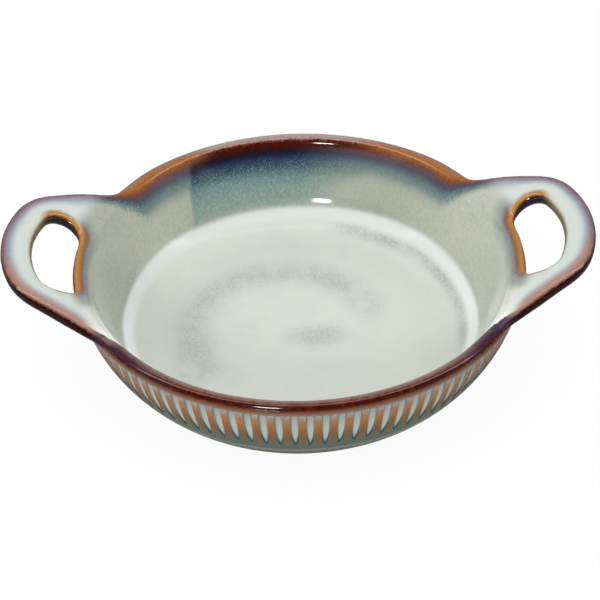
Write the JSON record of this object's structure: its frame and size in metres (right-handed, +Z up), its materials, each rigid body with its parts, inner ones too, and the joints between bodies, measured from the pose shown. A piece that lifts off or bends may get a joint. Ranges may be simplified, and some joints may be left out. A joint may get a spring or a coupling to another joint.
{
  "type": "baking dish",
  "caption": "Round stoneware baking dish with a rolled lip, fluted outside wall and a loop handle on each side.",
  "frame": {"origin": "centre of the foot ring, on the surface that the dish stands on", "axes": "+Z up out of the bowl; X runs through both handles, Y across between them"},
  "size_m": [0.2638, 0.203, 0.0637],
  "materials": {
    "glaze": "gloss reactive glaze, grey-green inside, brown over the lip and handle edges"
  },
  "bodies": {
    "root": {"baking_dish": "glaze"}
  },
  "joints": []
}
